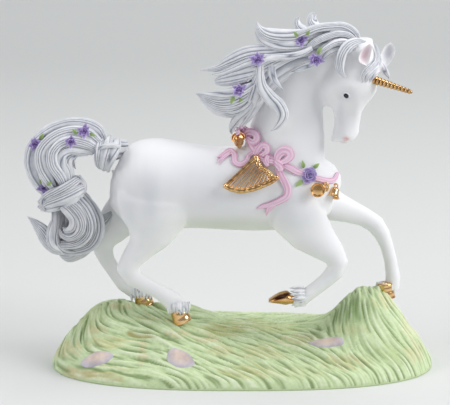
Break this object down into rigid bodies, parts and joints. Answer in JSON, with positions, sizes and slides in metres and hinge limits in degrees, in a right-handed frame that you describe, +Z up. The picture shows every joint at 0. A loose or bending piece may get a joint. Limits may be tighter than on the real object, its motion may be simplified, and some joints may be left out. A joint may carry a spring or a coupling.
{
  "type": "unicorn figurine",
  "caption": "Porcelain unicorn cantering on a grassy oval base, with gilt horn and hooves, flowers in mane and tail, ribbon, harp and bells.",
  "frame": {"origin": "middle of the base's flat underside", "axes": "+X the way the unicorn runs, +Y its far side, +Z up"},
  "size_m": [0.2353, 0.098, 0.2033],
  "materials": {
    "bisque": "matt unglazed white bisque",
    "hair": "matt bisque, tinted pale blue-grey in the grooves",
    "turf": "matt painted bisque, pale green with ochre streaks",
    "stone": "matt painted bisque, lavender grey",
    "gilding": "burnished gilding over porcelain",
    "petals": "matt painted bisque, violet",
    "leaves": "matt painted bisque, green",
    "ribbon": "matt painted bisque, pink"
  },
  "bodies": {
    "root": {"bell_chest_front": "gilding", "bell_chest_near": "gilding", "bell_withers": "gilding", "chest_leaves": "leaves", "chest_rose": "petals", "ear_far": "bisque", "ear_near": "bisque", "foreleg_far": "bisque", "foreleg_near": "bisque", "forelock_front": "hair", "forelock_near": "hair", "ground_base": "turf", "harp_frame": "gilding", "harp_strings": "gilding", "head": "bisque", "hindleg_far": "bisque", "hindleg_near": "bisque", "hoof_foreleg_far": "gilding", "hoof_foreleg_near": "gilding", "hoof_hindleg_far": "gilding", "hoof_hindleg_near": "gilding", "horn": "gilding", "mane_crest": "hair", "mane_flower_1": "petals", "mane_flower_2": "petals", "mane_flower_3": "petals", "mane_flower_4": "petals", "mane_leaves": "leaves", "mane_lock_fourth": "hair", "mane_lock_hanging": "hair", "mane_lock_second": "hair", "mane_lock_third": "hair", "mane_lock_upper": "hair", "mane_lock_withers": "hair", "mane_tuft_poll": "hair", "neck": "bisque", "ribbon_bow_side": "ribbon", "ribbon_bow_withers": "ribbon", "ribbon_breast": "ribbon", "ribbon_swag": "ribbon", "ribbon_tail_back": "ribbon", "ribbon_tail_low": "ribbon", "stone_1": "stone", "stone_2": "stone", "stone_3": "stone", "tail_arch": "hair", "tail_curl": "hair", "tail_dock": "hair", "tail_dock_wrap": "hair", "tail_flower_1": "petals", "tail_flower_2": "petals", "tail_flower_3": "petals", "tail_flower_4": "petals", "tail_knot_wrap": "hair", "tail_leaves": "leaves", "tail_lock_left": "hair", "tail_lock_right": "hair", "tail_plume": "hair", "torso": "bisque"}
  },
  "joints": []
}
